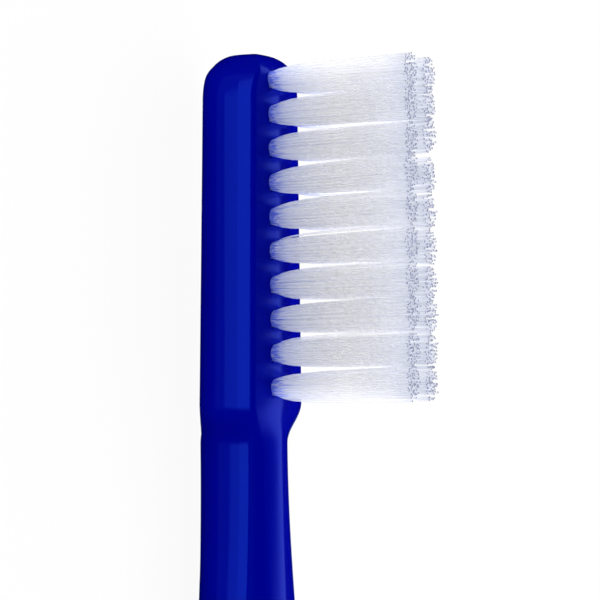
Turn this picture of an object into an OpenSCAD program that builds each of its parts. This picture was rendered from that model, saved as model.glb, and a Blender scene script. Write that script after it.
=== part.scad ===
// Orthodontic toothbrush with two rows of tufts. The handle, neck and head are one moulding,
// and each tuft is a bundle of filaments folded over a flat anchor in a blind hole.
// The brush lies on the flat back of its grip: X runs from the tip of the head to the end
// of the grip, and the filaments point along Z.

/* [Whole brush] */
// Length from the tip of the head to the end of the grip
brush_len = 165; // [145:1:190]

/* [Tufts] */
// Number of tufts in each of the two rows
tufts_per_row = 10; // [8:1:12]
// Distance between neighbouring tufts of one row
tuft_pitch = 2.4; // [2.3:0.05:2.8]
// Distance between the middles of the two rows
row_gap = 3.1; // [2.5:0.05:3.6]
// Height of the trimmed filaments above the face of the head
tuft_h = 10.4; // [8:0.1:12]
// Diameter of a tuft hole
hole_d = 1.6; // [1.4:0.05:1.8]
// Depth of a tuft hole
hole_depth = 3.4; // [3:0.1:3.8]
// Diameter of one filament
filament_d = 0.18; // [0.15:0.01:0.25]
// Smallest gap between two filaments at the mouth of the hole
filament_gap = 0.04; // [0.02:0.01:0.08]
// Gap between the tips of neighbouring tufts
tip_gap = 0.06; // [0.04:0.01:0.3]

/* [Anchors] */
// Height of an anchor, pressed down into the hole
anchor_h = 1.5; // [1.2:0.1:1.8]
// Thickness of the flat wire an anchor is cut from
anchor_t = 0.25; // [0.2:0.01:0.3]
// How far each end of an anchor bites into the wall of its hole
anchor_bite = 0.2; // [0.1:0.05:0.3]
// Turn of the anchors from the length of the head, in degrees
anchor_turn = 35; // [0:5:60]
// Thickness of the folded filaments below an anchor
fold_t = 0.35; // [0.25:0.05:0.5]

/* [Head] */
// Distance from the tip of the head to the middle of the first tuft
tip_margin = 2; // [1.8:0.1:4]
// Distance from the middle of the last tuft to where the head narrows
tail_margin = 1.2; // [0.9:0.1:4]
// Distance from the middle of a row to the side of the head where it narrows to the neck
side_margin = 2.65; // [2.2:0.05:3.5]
// How much narrower the head is at its tip
head_taper = 1; // [0:0.1:1.5]
// Thickness of the head at its tip
head_tip_t = 5.4; // [5:0.1:6.8]
// Thickness of the head where it narrows to the neck
head_root_t = 5.75; // [5:0.05:6.8]
// How far the sides of the head's face lie below its middle where it narrows to the neck
face_crown = 0.65; // [0:0.05:0.8]
// Round between the face of the head and its sides
face_round = 0.3; // [0.2:0.05:1]
// Depth below the face at which the sides of the head start to round into its back
side_depth = 2.75; // [2:0.05:3]
// Round of the head's back across its width
back_round_y = 2.4; // [1:0.1:3]
// Round of the tip seen from the face
tip_round = 3.2; // [1:0.1:3.5]
// Round of the tip's upper edge seen from the side
tip_face_round = 2; // [0.5:0.1:2.2]
// Round of the tip's lower edge seen from the side
tip_back_round = 1.85; // [0.5:0.05:2.2]
// Draft of the sides of the handle, which lean in from the mould's parting line, in degrees
side_draft = 1.5; // [0:0.1:3]

/* [Neck] */
// Length of the shoulders between the head and the neck
shoulder_len = 2.9; // [2:0.1:8]
// Length over which the neck grows into the grip
neck_len = 46; // [30:1:50]
// Width of the neck at its narrowest
neck_w = 5.2; // [4:0.1:6]
// Thickness of the neck at its narrowest
neck_t = 6.2; // [5:0.1:6.6]
// How far the top of the neck lies below the face of the head
neck_drop = 0.3; // [0:0.05:0.5]
// How far the sides of the neck's top lie below its middle
neck_crown = 0.95; // [0:0.05:1.2]
// Round between the top of the neck and its sides
neck_top_round = 0.6; // [0.3:0.05:1.5]
// Round of the neck's back up its sides
neck_back_round = 3.4; // [1.5:0.05:3.6]

/* [Grip] */
// Width of the grip
grip_w = 12.5; // [10:0.5:16]
// Thickness of the grip
grip_t = 8.3; // [8:0.1:11]
// How far the top of the grip stands above the face of the head
grip_rise = 1.3; // [0:0.1:1.4]
// How far the sides of the grip's top lie below its middle
grip_crown = 0.15; // [0.05:0.05:0.6]
// Round of the grip's top across its width
grip_top_round_y = 4.8; // [2:0.1:6]
// Round of the grip's top down its sides
grip_top_round_z = 3.4; // [2:0.1:4]
// Round along the lower edges of the grip
grip_back_round = 3; // [1:0.1:4]
// Round of the grip's end seen from above
end_round = 5.6; // [2:0.1:6]
// Round of the grip's end seen from the side
end_edge_round = 3.6; // [1:0.1:3.8]

/* [Hidden] */
// Clearance round the root of a tuft in its hole
tuft_fit = 0.02;
// Clearance round an anchor in its groove and its slot
anchor_fit = 0.02;
// Depth below the face at which the filaments part from the root
root_drop = 0.3;
// Length of each filament below the face, which ends inside the root
filament_sink = 0.8;
// Height by which holes and grooves are cut past the face
cut_past = 1;
// Depth shaved off the lofted back to make it flat
back_shave = 0.12;
// Largest share of a section's width or height that its rounds may take
round_share = 0.9;
// Width of face kept between the holes and the nearest edges of the crown's facets
mouth_wall = 0.25;
// Steps of each corner round, and rings along the tip, shoulders, neck and end
corner_steps = 8;
tip_steps = 8;
shoulder_steps = 8;
neck_steps = 16;
end_steps = 9;

head_w = row_gap + 2 * side_margin;
head_len = tip_margin + (tufts_per_row - 1) * tuft_pitch + tail_margin;
neck_start = head_len + shoulder_len;
grip_start = neck_start + neck_len;
face_z = grip_t - grip_rise;
head_crown = face_crown / pow(head_w / 2, 2);
near_hole = (row_gap - hole_d) / 2 - mouth_wall;
past_hole = (row_gap + hole_d) / 2 + mouth_wall;
tip_run = max(tip_round, tip_face_round, tip_back_round);
end_run = max(end_round, end_edge_round);

anchor_len = hole_d + 2 * anchor_bite;
anchor_z = fold_t - hole_depth;
root_r = hole_d / 2 - tuft_fit;
filament_rings = floor((root_r - filament_d / 2) / (filament_d + filament_gap));
root_step = (root_r - filament_d / 2) / filament_rings;
tip_step = ((tuft_pitch - tip_gap) / 2 - filament_d / 2) / filament_rings;

ROWS = ["left", "right"];

// Plain helpers
function mix(a, b, t) = a + (b - a) * t;
function ramp(s, a, b) = min(1, max(0, (s - a) / (b - a)));
function ease(s, a, b) = let (t = ramp(s, a, b)) t * t * (3 - 2 * t);
function tuft_name(row, number) = str("tuft_", row, "_", number < 10 ? "0" : "", number);

// A size at distance s from the tip, from its values on the head, neck and grip
function along(s, head, neck, grip) =
    mix(mix(head, neck, ease(s, head_len, neck_start)), grip, ease(s, neck_start, grip_start));

// How far a side has drawn in at distance d from an end rounded to radius r
function drawn_in(d, r) = d >= r ? 0 : r - sqrt(max(0, r * r - (r - d) * (r - d)));

// Half width of the handle before its two ends are rounded, and after
function side_y(s) =
    along(s, head_w - head_taper * (1 - ramp(s, 0, head_len)), neck_w, grip_w) / 2;
function half_w(s) = side_y(s)
    - drawn_in(s, min(tip_round, round_share * side_y(0))) - drawn_in(brush_len - s, end_round);

// Top and bottom of the handle's section
function top_z(s) = face_z + along(s, 0, -neck_drop, grip_rise)
    - drawn_in(s, tip_face_round) - drawn_in(brush_len - s, end_edge_round);
function head_t(s) = mix(head_tip_t, head_root_t, ramp(s, 0, head_len));
function bottom_z(s) = face_z - along(s, head_t(s), neck_drop + neck_t, face_z + back_shave)
    + drawn_in(s, tip_back_round) + drawn_in(brush_len - s, end_edge_round);

// A quarter of an ellipse in the plane at x, from angle a to angle b
function quarter(x, y, z, ry, rz, a, b) =
    [for (i = [0 : corner_steps]) let (t = mix(a, b, i / corner_steps))
        [x, y + ry * cos(t), z + rz * sin(t)]];

// How far the top has fallen at one millimetre from its middle
function crown(s) =
    along(s, head_crown, neck_crown / pow(side_y(s), 2), grip_crown / pow(side_y(s), 2));

// Points lowered to the crown
function crowned(points, k) = [for (p = points) [p.x, p.y, p.z - k * p.y * p.y]];

// Distances from the middle at which the top has points, up to its half width. On the head the
// two places leave one flat facet between them, in which the holes are drilled
function top_places(s, half) = [
    for (place = [[near_hole, 0.4], [past_hole, 0.8]])
        let (even = place[1] * half)
        along(s, min(place[0], even), even, even)
];

// One closed section: crowned top, rounds down to the sides, sides that lean in above and below
// the parting line, rounds down to the back, and flat back
function section(s) =
    let (
        x = s - brush_len / 2,
        w = half_w(s),
        k = crown(s),
        top = top_z(s),
        bottom = bottom_z(s),
        upper_y = min(along(s, face_round, neck_top_round, grip_top_round_y), w * round_share),
        lower_y = min(along(s, back_round_y, neck_w / 2, grip_back_round), w * round_share),
        upper = along(s, face_round, neck_top_round, grip_top_round_z),
        lower = along(s, head_t(s) - side_depth, neck_back_round, grip_back_round),
        fit = min(1, round_share * (top - k * w * w - bottom) / (upper + lower)),
        upper_z = top - upper * fit,
        lower_z = bottom + lower * fit,
        side_top = upper_z - k * w * w,
        lean = min(tan(side_draft) * (side_top - lower_z) / 2, w * (1 - round_share) / 2),
        upper_mid = w - lean - upper_y,
        lower_mid = w - lean - lower_y,
        places = top_places(s, upper_mid),
        last = len(places) - 1
    )
    concat(
        crowned(quarter(x, upper_mid, upper_z, upper_y, top - upper_z, 90, 0), k),
        [[x, w, (side_top + lower_z) / 2]],
        quarter(x, lower_mid, lower_z, lower_y, lower_z - bottom, 0, -90),
        quarter(x, -lower_mid, lower_z, lower_y, lower_z - bottom, -90, -180),
        [[x, -w, (side_top + lower_z) / 2]],
        crowned(quarter(x, -upper_mid, upper_z, upper_y, top - upper_z, 180, 90), k),
        crowned([for (i = [last : -1 : 0]) [x, -places[i], top]], k),
        crowned([for (y = places) [x, y, top]], k)
    );

// Distances from the tip at which the handle has a section
stations = concat(
    [for (i = [0 : tip_steps]) tip_run * (1 - cos(90 * i / tip_steps))],
    [for (i = [0 : shoulder_steps]) head_len + shoulder_len * i / shoulder_steps],
    [for (i = [1 : neck_steps]) neck_start + neck_len * i / neck_steps],
    [for (i = [0 : end_steps]) brush_len - end_run * (1 - sin(90 * i / end_steps))]
);

// Closed body through a list of sections that have the same number of points
module loft(sections) {
    n = len(sections[0]);
    last = len(sections) - 1;
    points = [for (ring = sections) each ring];
    walls = [for (k = [0 : last - 1], i = [0 : n - 1])
        let (a = k * n + i, b = k * n + (i + 1) % n)
        each [[a, b, b + n], [a, b + n, a + n]]];
    start_cap = [for (i = [n - 1 : -1 : 0]) i];
    end_cap = [for (i = [0 : n - 1]) last * n + i];
    polyhedron(points, concat([start_cap], walls, [end_cap]), convexity = 6);
}

// Moves its children to a tuft's hole, with the crowned face at zero height there, and mirrors
// them for the row at negative Y
module at_tuft(row, number) {
    x = tip_margin + (number - 1) * tuft_pitch - brush_len / 2;
    mouth_z = face_z - head_crown * pow(row_gap / 2, 2);
    mirror([0, row == "left" ? 1 : 0, 0]) translate([x, row_gap / 2, mouth_z]) children();
}

// The flat anchor's box, made larger by a clearance along and across it, and h tall
module anchor_box(clear, h) {
    rotate(anchor_turn)
        translate([-anchor_len / 2 - clear, -anchor_t / 2 - clear, anchor_z])
            cube([anchor_len + 2 * clear, anchor_t + 2 * clear, h]);
}

// Blind hole for a tuft, with the groove that its anchor cuts down both sides
module tuft_hole() {
    translate([0, 0, -hole_depth]) cylinder(d = hole_d, h = hole_depth + cut_past, $fn = 48);
    anchor_box(anchor_fit, cut_past - anchor_z);
}

// One straight filament that leans out from radius r0 at the mouth of the hole to r1 at its tip
module filament(r0, r1, turn) {
    lean = atan((r1 - r0) / tuft_h);
    rotate(turn)
        translate([r0, 0, 0])
            rotate([0, lean, 0])
                translate([0, 0, -filament_sink])
                    cylinder(d = filament_d, h = filament_sink + tuft_h / cos(lean), $fn = 16);
}

// Root of a tuft: the folded bundle that fills the hole, slotted for the anchor inside it
module tuft_root() {
    difference() {
        translate([0, 0, -hole_depth])
            cylinder(r = root_r, h = hole_depth - root_drop, $fn = 48);
        anchor_box(anchor_fit, anchor_h + anchor_fit);
    }
}

module handle() {
    color("mediumblue")
        difference() {
            loft([for (s = stations) section(s)]);
            for (row = ROWS, number = [1 : tufts_per_row]) at_tuft(row, number) tuft_hole();
            translate([-brush_len, -grip_w, -grip_t]) cube([2 * brush_len, 2 * grip_w, grip_t]);
        }
}

module anchors() {
    color("silver")
        for (row = ROWS, number = [1 : tufts_per_row]) at_tuft(row, number) anchor_box(0, anchor_h);
}

module tuft(row, number) {
    color("whitesmoke")
        at_tuft(row, number) {
            tuft_root();
            filament(0, 0, 0);
            for (ring = [1 : filament_rings], i = [0 : 6 * ring - 1])
                filament(ring * root_step, ring * tip_step, 60 * i / ring);
        }
}

handle();
anchors();
for (row = ROWS, number = [1 : tufts_per_row])
    tuft(row, number);
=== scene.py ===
"""Looks of an orthodontic toothbrush: its moulded handle and tufts of nylon, light and camera.

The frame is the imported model's: X runs from the tip of the head to the end of the grip, the
filaments point along Z, and the brush lies on the plane Z = 0. Lengths are in metres.
"""

import math
import random

import bmesh
import bpy
import numpy as np
from mathutils import Matrix, Vector


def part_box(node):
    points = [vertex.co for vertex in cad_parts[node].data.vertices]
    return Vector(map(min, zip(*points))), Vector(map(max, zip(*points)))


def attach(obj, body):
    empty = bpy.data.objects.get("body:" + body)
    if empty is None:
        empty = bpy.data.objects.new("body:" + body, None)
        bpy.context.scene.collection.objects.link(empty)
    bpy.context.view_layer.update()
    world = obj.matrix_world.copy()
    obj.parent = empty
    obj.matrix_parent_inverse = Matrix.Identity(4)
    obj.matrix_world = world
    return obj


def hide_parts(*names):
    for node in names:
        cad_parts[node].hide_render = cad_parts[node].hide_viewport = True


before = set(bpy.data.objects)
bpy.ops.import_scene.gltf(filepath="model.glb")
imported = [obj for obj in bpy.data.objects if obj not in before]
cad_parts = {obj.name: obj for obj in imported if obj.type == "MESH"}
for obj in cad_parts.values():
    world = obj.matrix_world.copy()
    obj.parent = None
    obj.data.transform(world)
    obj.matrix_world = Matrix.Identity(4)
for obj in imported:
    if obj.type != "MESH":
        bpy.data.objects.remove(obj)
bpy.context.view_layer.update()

MM = 0.001
HANDLE_LOW, HANDLE_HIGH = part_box("handle")
ROWS = ("left", "right")
TUFTS_PER_ROW = sum(name.startswith("tuft_left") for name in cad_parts)

# Sizes of the moulding, the same as in the part's source
BRUSH_LEN = HANDLE_HIGH.x - HANDLE_LOW.x
GRIP_W = HANDLE_HIGH.y - HANDLE_LOW.y
GRIP_T = HANDLE_HIGH.z - HANDLE_LOW.z
ROW_GAP = 3.1 * MM
SIDE_MARGIN = 2.65 * MM
HEAD_W = ROW_GAP + 2 * SIDE_MARGIN
HEAD_TAPER = 1.0 * MM
HEAD_LEN = 24.8 * MM
HEAD_TIP_T = 5.4 * MM
HEAD_ROOT_T = 5.75 * MM
FACE_CROWN = 0.65 * MM
FACE_ROUND = 0.3 * MM
SIDE_DEPTH = 2.75 * MM
BACK_ROUND_Y = 2.4 * MM
TIP_ROUND = 3.2 * MM
TIP_FACE_ROUND = 2.0 * MM
TIP_BACK_ROUND = 1.85 * MM
SIDE_DRAFT = math.radians(1.5)
SHOULDER_LEN = 2.9 * MM
NECK_LEN = 46 * MM
NECK_W = 5.2 * MM
NECK_T = 6.2 * MM
NECK_DROP = 0.3 * MM
NECK_CROWN = 0.95 * MM
NECK_TOP_ROUND = 0.6 * MM
NECK_BACK_ROUND = 3.4 * MM
GRIP_RISE = 1.3 * MM
GRIP_CROWN = 0.15 * MM
GRIP_TOP_ROUND_Y = 4.8 * MM
GRIP_TOP_ROUND_Z = 3.4 * MM
GRIP_BACK_ROUND = 3.0 * MM
END_ROUND = 5.6 * MM
END_EDGE_ROUND = 3.6 * MM
BACK_SHAVE = 0.12 * MM
ROUND_SHARE = 0.9
FACE_Z = GRIP_T - GRIP_RISE
NECK_START = HEAD_LEN + SHOULDER_LEN
GRIP_START = NECK_START + NECK_LEN
TIP_RUN = max(TIP_ROUND, TIP_FACE_ROUND, TIP_BACK_ROUND)
END_RUN = max(END_ROUND, END_EDGE_ROUND)

# Steps of the moulding's rounds and top, and of its rings along the length. Surfaces that meet
# at more than the last angle keep a sharp edge
CORNER_STEPS = 14
TOP_STEPS = 16
TIP_STEPS = 24
HEAD_STEPS = 8
SHOULDER_STEPS = 24
NECK_STEPS = 40
END_STEPS = 18
MOULDING_CREASE = math.radians(30)

# Tuft holes, as wide as the photograph shows the foot of a tuft, and the slots that the anchors
# cut beside them
HOLE_D = 1.24 * MM
HOLE_SIDES = 48
HOLE_DEPTH = 3.4 * MM
HOLE_LIP = 0.03 * MM
SLOT_LEN = 1.5 * MM
SLOT_W = 0.29 * MM
SLOT_DEPTH = 3.05 * MM
SLOT_TURN = math.radians(35)
CUT_PAST = 1.0 * MM

# Filaments: one in the middle of a tuft and rings of them round it. The steps are the heights of
# a filament's points as shares of its free length, and it goes on down into the hole
TUFT_H = 10.4 * MM
FILAMENT_D = 0.14 * MM
FILAMENT_RINGS = 4
FILAMENT_SIDES = 8
FILAMENT_STEPS = (0.0, 0.06, 0.13, 0.22, 0.36, 0.62, 1.0)
FILAMENT_BELOW = 3.3 * MM
END_WIDTH = 0.85
END_RISE = 0.1 * FILAMENT_D
STRAND_CREASE = math.radians(60)

# How the rings stand apart at the hole and at the trimmed end. The first share of the flare comes
# within a few times the flare length above the face, and the rest evenly up to the end
ROOT_SPACING = 0.13 * MM
TIP_SPACING = 0.28 * MM
FLARE_LEN = 0.9 * MM
FLARE_START = 1.1
FLARE_SHARE = 0.6
SPLIT_AT_FACE = 0.03 * MM

# How unevenly the filaments stand: most stray a little at the end, and a few stray more
SEED = 7
TIP_STRAY = 0.07 * MM
LOOSE_SHARE = 0.06
LOOSE_STRAY = 3.5
BOW = 0.045 * MM
UNEVEN_LENGTH = 0.045 * MM

# Leans of the tufts' ends along X, read off the photograph tuft by tuft from the tip of the head,
# and how far the right row's ends stand outwards
LEFT_LEANS = (-0.27, -0.4, -0.3, -0.55, -0.5, -0.35, -0.3, -0.4, -0.3, -0.4)
RIGHT_LEANS = (-0.2, -0.45, -0.7, -0.3, -0.2, -0.1, 0.0, -0.1, 0.0, -0.2)
RIGHT_SPLAY = 0.35 * MM


def srgb(code):
    """Linear colour of an sRGB hex code."""
    channels = [int(code[i:i + 2], 16) / 255 for i in (1, 3, 5)]
    linear = [c / 12.92 if c <= 0.04045 else ((c + 0.055) / 1.055) ** 2.4 for c in channels]
    return (*linear, 1.0)


def select_only(obj):
    """Makes obj the active object and the only selected one."""
    bpy.ops.object.select_all(action="DESELECT")
    obj.select_set(True)
    bpy.context.view_layer.objects.active = obj


def apply_modifier(obj, kind, **settings):
    """Adds a modifier with its settings and applies it."""
    select_only(obj)
    modifier = obj.modifiers.new(kind.lower(), kind)
    for name, value in settings.items():
        setattr(modifier, name, value)
    bpy.ops.object.modifier_apply(modifier=modifier.name)


def finish_piece(obj, name, material, slot, *replaced):
    """Names a finished piece, gives it its material and ties it to the model."""
    obj.name = name
    obj.data.name = name
    if material:
        obj.data.materials.clear()
        obj.data.materials.append(material)
    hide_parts(*replaced)
    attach(obj, "root")


def mix(a, b, t):
    return a + (b - a) * t


def ramp(s, a, b):
    return min(1.0, max(0.0, (s - a) / (b - a)))


def ease(s, a, b):
    t = ramp(s, a, b)
    return t * t * (3 - 2 * t)


def along(s, head, neck, grip):
    """A size at distance s from the tip, from its values on the head, neck and grip."""
    front = mix(head, neck, ease(s, HEAD_LEN, NECK_START))
    return mix(front, grip, ease(s, NECK_START, GRIP_START))


def drawn_in(d, r):
    """How far a side has drawn in at distance d from an end rounded to radius r."""
    return 0.0 if d >= r else r - math.sqrt(max(0.0, r * r - (r - d) ** 2))


def quarter(y, z, ry, rz, start, end):
    """A quarter of an ellipse from one angle to another, in degrees."""
    turns = [math.radians(mix(start, end, i / CORNER_STEPS)) for i in range(CORNER_STEPS + 1)]
    return [(y + ry * math.cos(t), z + rz * math.sin(t)) for t in turns]


def side_y(s):
    """Half width of the handle at distance s from the tip, before its two ends are rounded."""
    head = HEAD_W - HEAD_TAPER * (1 - ramp(s, 0, HEAD_LEN))
    return along(s, head, NECK_W, GRIP_W) / 2


def crown(s):
    """How steeply the crowned top falls with the square of the distance from its middle."""
    head = FACE_CROWN / (HEAD_W / 2) ** 2
    return along(s, head, NECK_CROWN / side_y(s) ** 2, GRIP_CROWN / side_y(s) ** 2)


def crowned(points, curve):
    """Points lowered to the crown."""
    return [(y, z - curve * y * y) for y, z in points]


def section(s):
    """The moulding's closed section at distance s from the tip, as (y, z) points."""
    from_end = BRUSH_LEN - s
    half = side_y(s) - drawn_in(s, TIP_ROUND) - drawn_in(from_end, END_ROUND)
    top = FACE_Z + along(s, 0, -NECK_DROP, GRIP_RISE)
    top -= drawn_in(s, TIP_FACE_ROUND) + drawn_in(from_end, END_EDGE_ROUND)
    head_t = mix(HEAD_TIP_T, HEAD_ROOT_T, ramp(s, 0, HEAD_LEN))
    bottom = FACE_Z - along(s, head_t, NECK_DROP + NECK_T, FACE_Z + BACK_SHAVE)
    bottom += drawn_in(s, TIP_BACK_ROUND) + drawn_in(from_end, END_EDGE_ROUND)
    curve = crown(s)
    upper_y = min(along(s, FACE_ROUND, NECK_TOP_ROUND, GRIP_TOP_ROUND_Y), half * ROUND_SHARE)
    lower_y = min(along(s, BACK_ROUND_Y, NECK_W / 2, GRIP_BACK_ROUND), half * ROUND_SHARE)
    upper = along(s, FACE_ROUND, NECK_TOP_ROUND, GRIP_TOP_ROUND_Z)
    lower = along(s, head_t - SIDE_DEPTH, NECK_BACK_ROUND, GRIP_BACK_ROUND)
    edge_drop = curve * half ** 2
    fit = min(1.0, ROUND_SHARE * (top - edge_drop - bottom) / (upper + lower))
    upper_z = top - upper * fit
    lower_z = bottom + lower * fit
    side_top = upper_z - edge_drop
    lean = min(math.tan(SIDE_DRAFT) * (side_top - lower_z) / 2, half * (1 - ROUND_SHARE) / 2)
    upper_mid = half - lean - upper_y
    lower_mid = half - lean - lower_y
    parting = (side_top + lower_z) / 2
    across = [(mix(-upper_mid, upper_mid, i / TOP_STEPS), top) for i in range(1, TOP_STEPS)]
    return [
        *crowned(quarter(upper_mid, upper_z, upper_y, top - upper_z, 90, 0), curve),
        (half, parting),
        *quarter(lower_mid, lower_z, lower_y, lower_z - bottom, 0, -90),
        *quarter(-lower_mid, lower_z, lower_y, lower_z - bottom, -90, -180),
        (-half, parting),
        *crowned(quarter(-upper_mid, upper_z, upper_y, top - upper_z, 180, 90), curve),
        *crowned(across, curve),
    ]


def stations():
    """Distances from the tip at which the moulding has a ring."""
    tip = [TIP_RUN * (1 - math.cos(math.pi / 2 * i / TIP_STEPS)) for i in range(TIP_STEPS + 1)]
    head = [mix(TIP_RUN, HEAD_LEN, i / HEAD_STEPS) for i in range(1, HEAD_STEPS)]
    shoulder = [mix(HEAD_LEN, NECK_START, i / SHOULDER_STEPS) for i in range(SHOULDER_STEPS + 1)]
    neck = [mix(NECK_START, GRIP_START, i / NECK_STEPS) for i in range(1, NECK_STEPS + 1)]
    end = [
        BRUSH_LEN - END_RUN * (1 - math.sin(math.pi / 2 * i / END_STEPS))
        for i in range(END_STEPS + 1)
    ]
    return tip + head + shoulder + neck + end


def place_ring(mesh, s):
    """Moves the selected ring of the mesh in edit mode to the section at distance s."""
    shape = bmesh.from_edit_mesh(mesh)
    shape.verts.ensure_lookup_table()
    points = section(s)
    ring = shape.verts[-len(points):]
    for vert, (y, z) in zip(ring, points):
        vert.co = (HANDLE_LOW.x + s, y, z)
    bmesh.update_edit_mesh(mesh)


def moulding():
    """The handle's outer form: one end face extruded ring by ring from tip to grip end."""
    places = stations()
    ring_size = len(section(0))
    bpy.ops.object.select_all(action="DESELECT")
    bpy.ops.mesh.primitive_circle_add(
        vertices=ring_size, radius=HEAD_W / 2, fill_type="NGON", rotation=(0, math.pi / 2, 0)
    )
    body = bpy.context.object
    bpy.ops.object.transform_apply(location=True, rotation=True, scale=True)
    bpy.ops.object.mode_set(mode="EDIT")
    bpy.ops.mesh.select_all(action="SELECT")
    place_ring(body.data, places[0])
    for s in places[1:]:
        bpy.ops.mesh.extrude_region_move()
        place_ring(body.data, s)
    mark_parting_line(body.data, ring_size)
    bpy.ops.mesh.select_all(action="SELECT")
    bpy.ops.mesh.remove_doubles(threshold=1e-7)
    bpy.ops.mesh.normals_make_consistent(inside=False)
    bpy.ops.mesh.quads_convert_to_tris()
    bpy.ops.mesh.bisect(
        plane_co=(0, 0, 0), plane_no=(0, 0, 1), use_fill=True, clear_inner=True, threshold=1e-7
    )
    bpy.ops.object.mode_set(mode="OBJECT")
    return body


def mark_parting_line(mesh, ring_size):
    """Keeps the crease where the two halves of the mould met, along both sides of the handle."""
    crease = (CORNER_STEPS + 1, ring_size - TOP_STEPS - CORNER_STEPS - 1)
    bpy.ops.mesh.select_all(action="DESELECT")
    bpy.ops.mesh.select_mode(type="EDGE")
    shape = bmesh.from_edit_mesh(mesh)
    shape.verts.index_update()
    for edge in shape.edges:
        edge.select = all(vert.index % ring_size in crease for vert in edge.verts)
    bmesh.update_edit_mesh(mesh)
    bpy.ops.mesh.mark_sharp()
    bpy.ops.mesh.select_mode(type="VERT")


def hole_cutter(place, side):
    """A tuft hole with a small lip at its mouth, and the slot that the anchor cuts across it."""
    bpy.ops.object.select_all(action="DESELECT")
    bpy.ops.mesh.primitive_cylinder_add(
        vertices=HOLE_SIDES, radius=HOLE_D / 2, depth=HOLE_DEPTH - HOLE_LIP,
        location=(0, 0, -(HOLE_DEPTH + HOLE_LIP) / 2),
    )
    hole = bpy.context.object
    bpy.ops.object.transform_apply(location=True, rotation=True, scale=True)
    bpy.ops.object.mode_set(mode="EDIT")
    bpy.ops.mesh.select_all(action="DESELECT")
    shape = bmesh.from_edit_mesh(hole.data)
    for face in shape.faces:
        face.select = face.normal.z > 0.9
    bmesh.update_edit_mesh(hole.data)
    wider = (HOLE_D / 2 + HOLE_LIP) / (HOLE_D / 2)
    bpy.ops.mesh.extrude_region_move(TRANSFORM_OT_translate={"value": (0, 0, HOLE_LIP)})
    bpy.ops.transform.resize(value=(wider, wider, 1))
    bpy.ops.mesh.extrude_region_move(TRANSFORM_OT_translate={"value": (0, 0, CUT_PAST)})
    bpy.ops.object.mode_set(mode="OBJECT")
    bpy.ops.mesh.primitive_cube_add(
        size=1, location=(0, 0, (CUT_PAST - SLOT_DEPTH) / 2), rotation=(0, 0, side * SLOT_TURN),
        scale=(SLOT_LEN, SLOT_W, CUT_PAST + SLOT_DEPTH),
    )
    slot = bpy.context.object
    bpy.ops.object.transform_apply(location=True, rotation=True, scale=True)
    apply_modifier(hole, "BOOLEAN", operation="UNION", solver="EXACT", object=slot)
    bpy.data.objects.remove(slot)
    hole.data.transform(Matrix.Translation(place))
    return hole


def tuft_place(row, number):
    """Where the middle of a tuft's hole meets the face of the head."""
    low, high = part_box(f"tuft_{row}_{number:02d}")
    return Vector(((low.x + high.x) / 2, (low.y + high.y) / 2, low.z + HOLE_DEPTH))


def make_handle(material):
    """Moulding with its tuft holes, shaded smooth across the rounds."""
    body = moulding()
    cutters = [
        hole_cutter(tuft_place(row, number), 1 if row == "right" else -1)
        for row in ROWS
        for number in range(1, TUFTS_PER_ROW + 1)
    ]
    select_only(cutters[0])
    for cutter in cutters:
        cutter.select_set(True)
    bpy.ops.object.join()
    apply_modifier(body, "BOOLEAN", operation="DIFFERENCE", solver="EXACT", object=cutters[0])
    bpy.data.objects.remove(cutters[0])
    select_only(body)
    bpy.ops.object.shade_smooth_by_angle(angle=MOULDING_CREASE)
    apply_modifier(body, "WEIGHTED_NORMAL", keep_sharp=True, weight=100)
    finish_piece(body, "moulded_handle", material, "handle", "handle")


def filament_pattern():
    """Points and faces of one upright filament, and which faces are its trimmed end.

    Its heights run from -1 to 0 down in the hole, from 0 to 1 along its free length, and from 1 to
    2 across its rounded end.
    """
    bpy.ops.object.select_all(action="DESELECT")
    bpy.ops.mesh.primitive_circle_add(
        vertices=FILAMENT_SIDES, radius=FILAMENT_D / 2, fill_type="NGON"
    )
    master = bpy.context.object
    bpy.ops.object.mode_set(mode="EDIT")
    bpy.ops.mesh.select_all(action="SELECT")
    heights = [-1.0, *FILAMENT_STEPS]
    for lower, upper in zip(heights, heights[1:]):
        bpy.ops.mesh.extrude_region_move(TRANSFORM_OT_translate={"value": (0, 0, upper - lower)})
    bpy.ops.mesh.extrude_region_move(TRANSFORM_OT_translate={"value": (0, 0, 1.0)})
    bpy.ops.transform.resize(value=(END_WIDTH, END_WIDTH, 1))
    bpy.ops.mesh.select_all(action="SELECT")
    bpy.ops.transform.translate(value=(0, 0, -1.0))
    bpy.ops.mesh.normals_make_consistent(inside=False)
    bpy.ops.object.mode_set(mode="OBJECT")
    points = np.array([vert.co for vert in master.data.vertices])
    faces = [tuple(face.vertices) for face in master.data.polygons]
    ends = [min(points[i][2] for i in face) > 0.999 for face in faces]
    bpy.data.objects.remove(master)
    return points, faces, ends


def ring_places():
    """Places of the filaments in a bundle, with one unit from ring to ring."""
    places = [(0.0, 0.0)]
    for ring in range(1, FILAMENT_RINGS + 1):
        for i in range(6 * ring):
            turn = 2 * math.pi * (i + 0.5 * (ring % 2)) / (6 * ring)
            places.append((ring * math.cos(turn), ring * math.sin(turn)))
    return places


def bent(points, root, tip, lean, bow, length):
    """One filament's points, bent from its root place to its tip place and leaning evenly."""
    level = points[:, 2]
    below, share, end = (np.clip(part, 0, 1) for part in (-level, level, level - 1))
    height = share * length
    early = 1 - np.exp(-((height / FLARE_LEN) ** FLARE_START))
    flare = FLARE_SHARE * early + (1 - FLARE_SHARE) * share
    placed = points.copy()
    placed[:, :2] += np.outer(1 - flare, root) + np.outer(flare, tip)
    placed[:, :2] += np.outer(share, lean) + np.outer(np.sin(np.pi * share), bow)
    placed[:, 2] = height - below * FILAMENT_BELOW + end * END_RISE
    return placed


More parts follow.
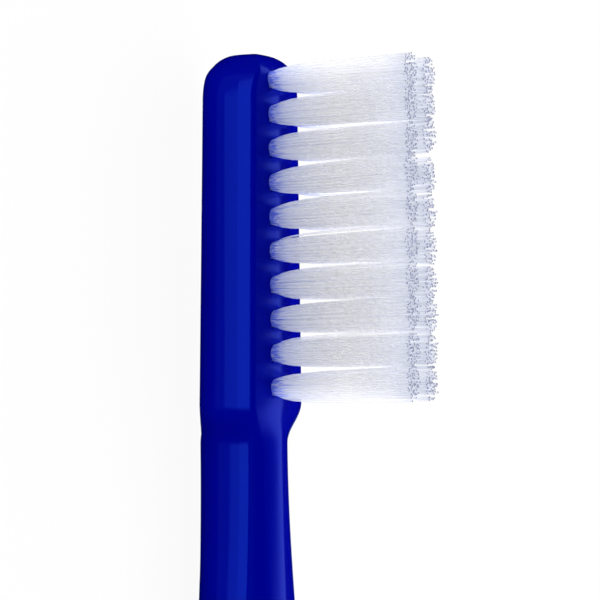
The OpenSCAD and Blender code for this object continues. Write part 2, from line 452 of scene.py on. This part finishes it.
def make_tuft(row, number, pattern, lean, materials):
    """One tuft: filaments that leave the hole close together and flare to the trimmed end."""
    points, faces, ends = pattern
    side = 1 if row == "right" else -1
    dice = random.Random(f"{SEED} {row} {number}")
    across = Vector((-math.sin(SLOT_TURN), side * math.cos(SLOT_TURN)))
    all_points = []
    all_faces = []
    all_ends = []
    for a, b in ring_places():
        place = Vector((a, b))
        half = 1 if place.dot(across) >= 0 else -1
        root = place * ROOT_SPACING + across * half * SPLIT_AT_FACE
        loose = LOOSE_STRAY if dice.random() < LOOSE_SHARE else 1.0
        stray = Vector((dice.gauss(0, 1), dice.gauss(0, 1))) * TIP_STRAY * loose
        tip = place * TIP_SPACING + stray
        bow = Vector((dice.gauss(0, 1), dice.gauss(0, 1))) * BOW
        length = TUFT_H + dice.gauss(0, 1) * UNEVEN_LENGTH
        placed = bent(points, root, tip, lean, bow, length)
        offset = len(all_points) * len(points)
        all_points.append(placed)
        all_faces.extend(tuple(i + offset for i in face) for face in faces)
        all_ends.extend(ends)
    mesh = bpy.data.meshes.new("tuft")
    mesh.from_pydata(np.concatenate(all_points) + np.array(tuft_place(row, number)), [], all_faces)
    for material in materials:
        mesh.materials.append(material)
    mesh.polygons.foreach_set("material_index", np.array(all_ends, dtype=np.int32))
    tuft = bpy.data.objects.new("tuft", mesh)
    bpy.context.scene.collection.objects.link(tuft)
    select_only(tuft)
    bpy.ops.object.shade_smooth_by_angle(angle=STRAND_CREASE)
    node = f"tuft_{row}_{number:02d}"
    finish_piece(tuft, f"filaments_{row}_{number:02d}", None, "filament", node)


# Materials


def add_node(tree, kind, inputs=None, **settings):
    """Adds a node with its settings. An input that is a socket is linked, and any other is set."""
    made = tree.nodes.new(kind)
    for name, value in settings.items():
        setattr(made, name, value)
    for key, value in (inputs or {}).items():
        if isinstance(value, bpy.types.NodeSocket):
            tree.links.new(value, made.inputs[key])
        else:
            made.inputs[key].default_value = value
    return made


def new_material(name):
    """An empty node material and its tree."""
    material = bpy.data.materials.new(name)
    material.use_nodes = True
    material.node_tree.nodes.clear()
    return material, material.node_tree


def moulded_polypropylene():
    """Injection-moulded polypropylene, deep blue and glossy.

    The mould's polish gives a clear shine with faint draw marks along the brush, and the melt's
    flow leaves a slow waviness that softens the edges of each reflection. The pigment under the
    clear skin tints what is mirrored straight on, so only glancing reflections look white.
    """
    material, tree = new_material("moulded_polypropylene")
    place = add_node(tree, "ShaderNodeTexCoord").outputs["Object"]
    # Flow marks are about 4 mm across, and draw marks stand 0.25 mm apart
    flow = add_node(
        tree, "ShaderNodeTexNoise", {"Vector": place, "Scale": 1 / (4 * MM), "Detail": 2.0}
    )
    shade = add_node(
        tree, "ShaderNodeMixRGB", {0: flow.outputs["Fac"], 1: srgb("#000394"), 2: srgb("#00049C")}
    )
    drawn = add_node(
        tree, "ShaderNodeMapping", {"Vector": place, "Scale": (0.04, 1.0, 1.0)}, vector_type="POINT"
    )
    marks = add_node(
        tree, "ShaderNodeTexNoise",
        {"Vector": drawn.outputs["Vector"], "Scale": 1 / (0.25 * MM), "Detail": 3.0},
    )
    gloss = add_node(
        tree, "ShaderNodeMapRange",
        {"Value": marks.outputs["Fac"], "To Min": 0.08, "To Max": 0.13},
    )
    waviness = add_node(
        tree, "ShaderNodeBump",
        {"Height": flow.outputs["Fac"], "Strength": 0.05, "Distance": 0.05 * MM},
    )
    relief = add_node(
        tree, "ShaderNodeBump",
        {"Height": marks.outputs["Fac"], "Normal": waviness.outputs["Normal"],
         "Strength": 0.10, "Distance": 0.004 * MM},
    )
    surface = add_node(
        tree, "ShaderNodeBsdfPrincipled",
        {"Base Color": shade.outputs["Color"],
         "Roughness": gloss.outputs["Result"], "Normal": relief.outputs["Normal"],
         "IOR": 1.49, "Specular Tint": srgb("#3877FF")},
    )
    output = add_node(tree, "ShaderNodeOutputMaterial")
    tree.links.new(surface.outputs["BSDF"], output.inputs["Surface"])
    return material


def nylon_filament():
    """Extruded nylon filament, milky white and half clear, so that a bundle glows from inside.

    Fine draw lines run along it and make its painted blue foot reach up unevenly. The blue at the
    foot is painted light, standing in for the blue that the plastic around it throws into the
    filaments, and the colour greys a little towards the trimmed end. Most light goes on through
    each filament, so a bundle lit from the far side stays bright on the near side, though the eye
    sees little through one. To reflections the filaments are painted blue, a painted blue
    reflection of the tufts in the deep blue plastic.
    """
    material, tree = new_material("nylon_filament")
    place = add_node(tree, "ShaderNodeTexCoord").outputs["Object"]
    streaks = add_node(
        tree, "ShaderNodeMapping", {"Vector": place, "Scale": (1.0, 1.0, 0.03)},
        vector_type="POINT",
    )
    # Draw lines are as wide as a filament, because finer ones don't show
    draw = add_node(
        tree, "ShaderNodeTexNoise",
        {"Vector": streaks.outputs["Vector"], "Scale": 1 / (0.12 * MM), "Detail": 1.0},
    )
    height = add_node(tree, "ShaderNodeSeparateXYZ", {0: place}).outputs["Z"]
    uneven = add_node(
        tree, "ShaderNodeMapRange",
        {"Value": draw.outputs["Fac"], "From Min": 0.3, "From Max": 0.7,
         "To Min": -0.6 * MM, "To Max": 0.6 * MM},
    )
    level = add_node(
        tree, "ShaderNodeMath", {0: height, 1: uneven.outputs["Result"]}, operation="ADD"
    )
    along_length = add_node(
        tree, "ShaderNodeMapRange",
        {"Value": level.outputs["Value"], "From Min": FACE_Z, "From Max": FACE_Z + TUFT_H},
    )
    # Painted blue foot, standing in for light from the blue plastic; white along the length, a
    # little greyer at the end
    tone = add_node(tree, "ShaderNodeValToRGB", {"Fac": along_length.outputs["Result"]})
    stops_with_painted_blue_foot = (
        (0.0, "#8298FF"), (0.03, "#C4D0FF"), (0.08, "#EBEFFF"), (0.25, "#FAFBFF"),
        (0.5, "#FFFFFF"), (0.85, "#F6F7FA"), (1.0, "#DFE2EB"),
    )
    for _ in stops_with_painted_blue_foot[2:]:
        tone.color_ramp.elements.new(0.5)
    for element, (position, code) in zip(tone.color_ramp.elements, stops_with_painted_blue_foot):
        element.position = position
        element.color = srgb(code)
    # Painted reflection: glossy rays see the filaments blue, so the plastic mirrors the tufts as
    # blue
    rays = add_node(tree, "ShaderNodeLightPath").outputs
    colour = add_node(
        tree, "ShaderNodeMixRGB",
        {0: rays["Is Glossy Ray"], 1: tone.outputs["Color"], 2: srgb("#5070F0")},
    ).outputs["Color"]
    skin = add_node(
        tree, "ShaderNodeBsdfPrincipled", {"Base Color": colour, "Roughness": 0.3, "IOR": 1.53}
    )
    core = add_node(tree, "ShaderNodeBsdfTranslucent", {"Color": colour})
    milky = add_node(
        tree, "ShaderNodeMixShader", {0: 0.6, 1: skin.outputs["BSDF"], 2: core.outputs["BSDF"]}
    )
    clear = add_node(tree, "ShaderNodeBsdfTransparent")
    inside = add_node(tree, "ShaderNodeNewGeometry").outputs["Backfacing"]
    passed = add_node(
        tree, "ShaderNodeMapRange",
        {"Value": rays["Is Shadow Ray"], "To Min": 0.25, "To Max": 0.95},
    )
    open_share = add_node(
        tree, "ShaderNodeMath", {0: inside, 1: passed.outputs["Result"]}, operation="MAXIMUM"
    )
    surface = add_node(
        tree, "ShaderNodeMixShader",
        {0: open_share.outputs["Value"], 1: milky.outputs["Shader"], 2: clear.outputs["BSDF"]},
    )
    output = add_node(tree, "ShaderNodeOutputMaterial")
    tree.links.new(surface.outputs["Shader"], output.inputs["Surface"])
    return material


def nylon_end():
    """Trimmed and rounded end of a nylon filament, painted a grey-blue that stands in for the
    blue light of the head carried up through the filament.

    The ends stand a little more than 0.2 mm apart and differ from one to the next.
    """
    material, tree = new_material("nylon_end")
    place = add_node(tree, "ShaderNodeTexCoord").outputs["Object"]
    speckle = add_node(tree, "ShaderNodeTexNoise", {"Vector": place, "Scale": 1 / (0.2 * MM)})
    # Painted grey-blue for the head's light through the filament, uneven from end to end
    tone = add_node(tree, "ShaderNodeValToRGB", {"Fac": speckle.outputs["Fac"]})
    tone.color_ramp.elements[0].position = 0.35
    tone.color_ramp.elements[0].color = srgb("#6F7397")
    tone.color_ramp.elements[1].position = 0.65
    tone.color_ramp.elements[1].color = srgb("#A2A6C4")
    surface = add_node(
        tree, "ShaderNodeBsdfPrincipled",
        {"Base Color": tone.outputs["Color"], "Roughness": 0.4, "IOR": 1.53},
    )
    output = add_node(tree, "ShaderNodeOutputMaterial")
    tree.links.new(surface.outputs["BSDF"], output.inputs["Surface"])
    return material


def nickel_silver():
    """Flat nickel silver wire, cut to length: a dull grey-yellow metal with fine rolling marks."""
    material, tree = new_material("nickel_silver")
    place = add_node(tree, "ShaderNodeTexCoord").outputs["Object"]
    rolled = add_node(
        tree, "ShaderNodeMapping",
        {"Vector": place, "Rotation": (0, 0, SLOT_TURN), "Scale": (0.05, 1.0, 1.0)},
        vector_type="POINT",
    )
    lines = add_node(
        tree, "ShaderNodeTexNoise",
        {"Vector": rolled.outputs["Vector"], "Scale": 1 / (0.05 * MM), "Detail": 3.0},
    )
    tone = add_node(tree, "ShaderNodeValToRGB", {"Fac": lines.outputs["Fac"]})
    tone.color_ramp.elements[0].color = srgb("#B8AF98")
    tone.color_ramp.elements[1].color = srgb("#D6CFBC")
    roughness = add_node(
        tree, "ShaderNodeMapRange",
        {"Value": lines.outputs["Fac"], "To Min": 0.25, "To Max": 0.4},
    )
    surface = add_node(
        tree, "ShaderNodeBsdfPrincipled",
        {"Base Color": tone.outputs["Color"], "Metallic": 1.0,
         "Roughness": roughness.outputs["Result"]},
    )
    output = add_node(tree, "ShaderNodeOutputMaterial")
    tree.links.new(surface.outputs["BSDF"], output.inputs["Surface"])
    return material


# Studio

# Camera, found from the outline of the head and neck: it looks along +Y, with X down the picture
CAMERA_ELEVATION = math.radians(24)
CAMERA_ROLL = math.radians(0.6)
CAMERA_DISTANCE = 183 * MM
CAMERA_LENS = 155.46
TARGET_FROM_TIP = 17.485 * MM
TARGET_ABOVE_FACE = 1.1445 * MM
TARGET = Vector((HANDLE_LOW.x + TARGET_FROM_TIP, 0, FACE_Z + TARGET_ABOVE_FACE))

# Softbox above the +Y side, which lights the tufts through from behind
LAMP_ELEVATION = math.radians(34)
LAMP_DISTANCE = 0.6
LAMP_LENGTH = 1.0
LAMP_WIDTH = 0.6
LAMP_WATTS = 4.2

# Soft light from all round, by direction across the brush: it dims towards a direction above the
# -Y side, and a bright strip lies low on that side
DARK_SIDE = (0, -math.cos(math.radians(52)), math.sin(math.radians(52)))
DARK_FROM, DARK_TO = 0.45, 0.9
FILL_LEVEL, DARK_LEVEL = 1.2, 0.35
LOW_SIDE = (0, -1, 0)
LOW_FROM, LOW_TO = 0.9, 1.0
LOW_LEVEL = 2.1

# Glowing cards that the plastic mirrors: tint, radiance at angles in degrees round the length of
# the brush from the +Y side upwards, and the share of it at places along X
CARD_DISTANCE = 0.6
CARDS = {
    "high_card": (
        "#7A96FF",
        ((29, 0), (31, 1.8), (43, 1.5), (47, 0.6), (52, 0.15), (60, 0)),
        ((-1.0, 0.0), (-0.8, 1.0), (0.035, 1.0)),
    ),
    "neck_card": (
        "#7A96FF",
        ((29, 0), (31, 1.9), (44, 1.8), (50, 1.1), (58, 0.5), (70, 0.2), (85, 0)),
        ((0.035, 1.0), (0.2, 1.0), (0.35, 0.5), (0.8, 0.5), (1.0, 0.0)),
    ),
    "low_card": (
        "#C4D2FF",
        ((196, 0), (198, 3.1), (204, 3.1), (204.5, 2.2), (209, 2.2), (212, 0.4), (230, 0.4),
         (235, 0)),
        ((-1.1, 0.0), (-0.8, 1.0), (0.08, 1.0), (0.5, 0.0)),
    ),
    "far_card": (
        "#A8CCE8",
        ((322, 0), (328, 0.8), (340, 0.8), (352, 0)),
        ((0.02, 0.0), (0.08, 1.0), (1.1, 1.0), (1.4, 0.0)),
    ),
}
FLAGS_RADIUS = 1.6
FLOOR_SIZE = 4
FLOOR_WHITE = 0.94


def make_camera():
    """The photograph's camera, turned so that the brush stands upright in the picture."""
    back = Vector((0, -math.cos(CAMERA_ELEVATION), math.sin(CAMERA_ELEVATION)))
    across = Vector((0, math.sin(CAMERA_ELEVATION), math.cos(CAMERA_ELEVATION)))
    down = Vector((1, 0, 0))
    right = across * math.cos(CAMERA_ROLL) + down * math.sin(CAMERA_ROLL)
    up = across * math.sin(CAMERA_ROLL) - down * math.cos(CAMERA_ROLL)
    data = bpy.data.cameras.new("camera")
    data.lens = CAMERA_LENS
    data.sensor_width = 36
    data.clip_start = 10 * MM
    camera = bpy.data.objects.new("camera", data)
    bpy.context.scene.collection.objects.link(camera)
    camera.matrix_world = Matrix.Translation(TARGET + back * CAMERA_DISTANCE) @ Matrix(
        (right, up, back)
    ).transposed().to_4x4()
    bpy.context.scene.camera = camera


def make_softbox():
    """A rectangular area lamp that faces the head, with its length along X. No gloss shows it."""
    data = bpy.data.lights.new("high_softbox", "AREA")
    data.shape = "RECTANGLE"
    data.size = LAMP_LENGTH
    data.size_y = LAMP_WIDTH
    data.energy = LAMP_WATTS
    lamp = bpy.data.objects.new("high_softbox", data)
    lamp.visible_glossy = False
    bpy.context.scene.collection.objects.link(lamp)
    back = Vector((0, math.cos(LAMP_ELEVATION), math.sin(LAMP_ELEVATION)))
    side = Vector((1, 0, 0))
    up = back.cross(side)
    lamp.matrix_world = Matrix.Translation(TARGET + back * LAMP_DISTANCE) @ Matrix(
        (side, up, back)
    ).transposed().to_4x4()


def make_card(name, tint, profile, reach):
    """A long glowing card that only reflections see, curved round the length of the brush."""
    points, faces, glow = [], [], []
    for angle, radiance in profile:
        turn = math.radians(angle)
        out = Vector((0, CARD_DISTANCE * math.cos(turn), CARD_DISTANCE * math.sin(turn)))
        for along_x, share in reach:
            points.append(TARGET + out + Vector((along_x, 0, 0)))
            glow.append(radiance * share)
    row = len(reach)
    for i in range(len(profile) - 1):
        for j in range(row - 1):
            corner = i * row + j
            faces.append((corner, corner + 1, corner + row + 1, corner + row))
    mesh = bpy.data.meshes.new(name)
    mesh.from_pydata(points, [], faces)
    mesh.attributes.new("glow", "FLOAT", "POINT").data.foreach_set("value", glow)
    card = bpy.data.objects.new(name, mesh)
    bpy.context.scene.collection.objects.link(card)
    material, tree = new_material(name)
    level = add_node(tree, "ShaderNodeAttribute", attribute_name="glow")
    light = add_node(
        tree, "ShaderNodeEmission", {"Color": srgb(tint), "Strength": level.outputs["Fac"]}
    )
    output = add_node(tree, "ShaderNodeOutputMaterial")
    tree.links.new(light.outputs["Emission"], output.inputs["Surface"])
    material.cycles.emission_sampling = "NONE"
    mesh.materials.append(material)
    only_reflections(card)


def only_reflections(obj):
    """Hides an object from everything but reflections."""
    obj.visible_camera = False
    obj.visible_diffuse = False
    obj.visible_transmission = False
    obj.visible_volume_scatter = False
    obj.visible_shadow = False


def seen_rays(tree):
    """1 for camera, glossy and transmission rays, which see the white background."""
    rays = add_node(tree, "ShaderNodeLightPath")
    glossy = add_node(
        tree, "ShaderNodeMath",
        {0: rays.outputs["Is Camera Ray"], 1: rays.outputs["Is Glossy Ray"]}, operation="MAXIMUM",
    )
    return add_node(
        tree, "ShaderNodeMath",
        {0: glossy.outputs["Value"], 1: rays.outputs["Is Transmission Ray"]}, operation="MAXIMUM",
    ).outputs["Value"]


def make_world():
    """Soft light from all round, in front of a white background."""
    world = bpy.data.worlds.new("studio")
    bpy.context.scene.world = world
    world.use_nodes = True
    tree = world.node_tree
    tree.nodes.clear()
    place = add_node(tree, "ShaderNodeTexCoord").outputs["Generated"]
    across = add_node(
        tree, "ShaderNodeVectorMath", {0: place, 1: (0, 1, 1)}, operation="MULTIPLY"
    ).outputs["Vector"]
    turned = add_node(
        tree, "ShaderNodeVectorMath", {0: across}, operation="NORMALIZE"
    ).outputs["Vector"]

    def towards(side, low, high, first, last):
        """A level that changes from first to last as the direction turns towards a side."""
        facing = add_node(
            tree, "ShaderNodeVectorMath", {0: turned, 1: side}, operation="DOT_PRODUCT"
        )
        return add_node(
            tree, "ShaderNodeMapRange",
            {"Value": facing.outputs["Value"], "From Min": low, "From Max": high,
             "To Min": first, "To Max": last},
            interpolation_type="SMOOTHSTEP",
        ).outputs["Result"]

    level = add_node(
        tree, "ShaderNodeMath",
        {0: towards(DARK_SIDE, DARK_FROM, DARK_TO, FILL_LEVEL, DARK_LEVEL),
         1: towards(LOW_SIDE, LOW_FROM, LOW_TO, 0.0, LOW_LEVEL)},
        operation="ADD",
    )
    fill = add_node(
        tree, "ShaderNodeBackground", {"Color": srgb("#FFFFFF"), "Strength": level.outputs["Value"]}
    )
    white = add_node(tree, "ShaderNodeBackground", {"Color": srgb("#FFFFFF"), "Strength": 1.0})
    both = add_node(
        tree, "ShaderNodeMixShader",
        {0: seen_rays(tree), 1: fill.outputs["Background"], 2: white.outputs["Background"]},
    )
    output = add_node(tree, "ShaderNodeOutputWorld")
    tree.links.new(both.outputs["Shader"], output.inputs["Surface"])


def make_floor():
    """Plain pale floor under the brush, white to the camera apart from a trace of the shadow."""
    bpy.ops.object.select_all(action="DESELECT")
    bpy.ops.mesh.primitive_plane_add(size=FLOOR_SIZE)
    floor = bpy.context.object
    floor.name = "floor"
    material, tree = new_material("white_floor")
    paint = add_node(tree, "ShaderNodeBsdfDiffuse", {"Color": srgb("#F0F0F0")})
    glow = add_node(tree, "ShaderNodeEmission", {"Color": srgb("#FFFFFF"), "Strength": 1.0})
    share = add_node(
        tree, "ShaderNodeMath", {0: seen_rays(tree), 1: FLOOR_WHITE}, operation="MULTIPLY"
    )
    both = add_node(
        tree, "ShaderNodeMixShader",
        {0: share.outputs["Value"], 1: paint.outputs["BSDF"], 2: glow.outputs["Emission"]},
    )
    output = add_node(tree, "ShaderNodeOutputMaterial")
    tree.links.new(both.outputs["Shader"], output.inputs["Surface"])
    floor.data.materials.append(material)
    floor.visible_glossy = False


def make_flags():
    """Black flags all round the set, which only reflections see, as in a dark studio."""
    bpy.ops.object.select_all(action="DESELECT")
    bpy.ops.mesh.primitive_uv_sphere_add(
        segments=32, ring_count=16, radius=FLAGS_RADIUS, location=TARGET
    )
    flags = bpy.context.object
    flags.name = "black_flags"
    material, tree = new_material("black_flags")
    cloth = add_node(tree, "ShaderNodeBsdfDiffuse", {"Color": srgb("#000000")})
    output = add_node(tree, "ShaderNodeOutputMaterial")
    tree.links.new(cloth.outputs["BSDF"], output.inputs["Surface"])
    flags.data.materials.append(material)
    only_reflections(flags)


make_handle(moulded_polypropylene())
strand = filament_pattern()
strand_materials = (nylon_filament(), nylon_end())
for row, leans, splay in (("left", LEFT_LEANS, 0.0), ("right", RIGHT_LEANS, RIGHT_SPLAY)):
    for number in range(1, TUFTS_PER_ROW + 1):
        make_tuft(row, number, strand, Vector((leans[number - 1] * MM, splay)), strand_materials)
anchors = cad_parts["anchors"]
anchors.data.materials.clear()
anchors.data.materials.append(nickel_silver())

make_camera()
make_world()
make_floor()
make_flags()
make_softbox()
for name, (tint, profile, reach) in CARDS.items():
    make_card(name, tint, profile, reach)

bpy.context.scene.view_settings.view_transform = "Standard"
